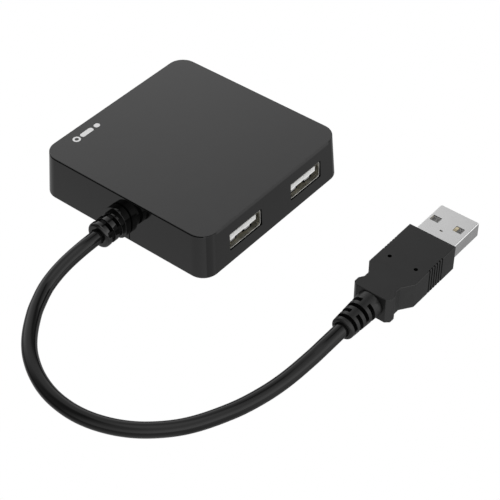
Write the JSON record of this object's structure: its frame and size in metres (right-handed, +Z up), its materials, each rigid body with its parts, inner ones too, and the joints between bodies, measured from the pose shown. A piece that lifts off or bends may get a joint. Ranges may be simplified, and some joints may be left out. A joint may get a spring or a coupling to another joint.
{
  "type": "usb hub",
  "caption": "Square, flat, gloss black USB hub with USB-A receptacles on two sides and a short fixed cable ending in a USB-A plug.",
  "frame": {"origin": "centre of the housing's underside", "axes": "+Z up out of the top cover, -Y out of the wall that the cable leaves, +X and -X out of the two walls that hold the ports"},
  "size_m": [0.1059, 0.1156, 0.0141],
  "materials": {
    "gloss_black": "polished black",
    "boot_black": "smooth black, moulded",
    "cable_black": "smooth black sheath",
    "steel": "nickel plated, satin",
    "insulator": "white moulding",
    "insulator_dark": "grey moulding",
    "gold": "gold plated",
    "board": "green solder resist on fibreglass",
    "chip": "moulded epoxy",
    "ceramic": "unglazed tan",
    "aluminium": "satin can",
    "wire_red": "red insulation",
    "wire_white": "white insulation",
    "wire_green": "green insulation",
    "wire_black": "black insulation"
  },
  "bodies": {
    "root": {"housing_frame": "gloss_black", "top_cover": "gloss_black", "bottom_cover": "gloss_black", "receptacle_shell_1": "steel", "receptacle_insulator_1": "insulator", "receptacle_1_contact_1": "gold", "receptacle_1_contact_2": "gold", "receptacle_1_contact_3": "gold", "receptacle_1_contact_4": "gold", "receptacle_shell_2": "steel", "receptacle_insulator_2": "insulator", "receptacle_2_contact_1": "gold", "receptacle_2_contact_2": "gold", "receptacle_2_contact_3": "gold", "receptacle_2_contact_4": "gold", "receptacle_shell_3": "steel", "receptacle_insulator_3": "insulator", "receptacle_3_contact_1": "gold", "receptacle_3_contact_2": "gold", "receptacle_3_contact_3": "gold", "receptacle_3_contact_4": "gold", "receptacle_shell_4": "steel", "receptacle_insulator_4": "insulator", "receptacle_4_contact_1": "gold", "receptacle_4_contact_2": "gold", "receptacle_4_contact_3": "gold", "receptacle_4_contact_4": "gold", "circuit_board": "board", "controller_chip": "chip", "crystal": "steel", "capacitor_1": "ceramic", "capacitor_2": "ceramic", "capacitor_3": "ceramic", "capacitor_4": "ceramic", "electrolytic_capacitor": "aluminium", "hub_strain_relief": "boot_black", "wire_red": "wire_red", "wire_white": "wire_white", "wire_green": "wire_green", "wire_black": "wire_black", "cable": "cable_black", "plug_strain_relief": "boot_black", "plug_overmould": "boot_black", "plug_shell": "steel", "plug_insulator": "insulator_dark", "plug_contact_1": "gold", "plug_contact_2": "gold", "plug_contact_3": "gold", "plug_contact_4": "gold"}
  },
  "joints": []
}
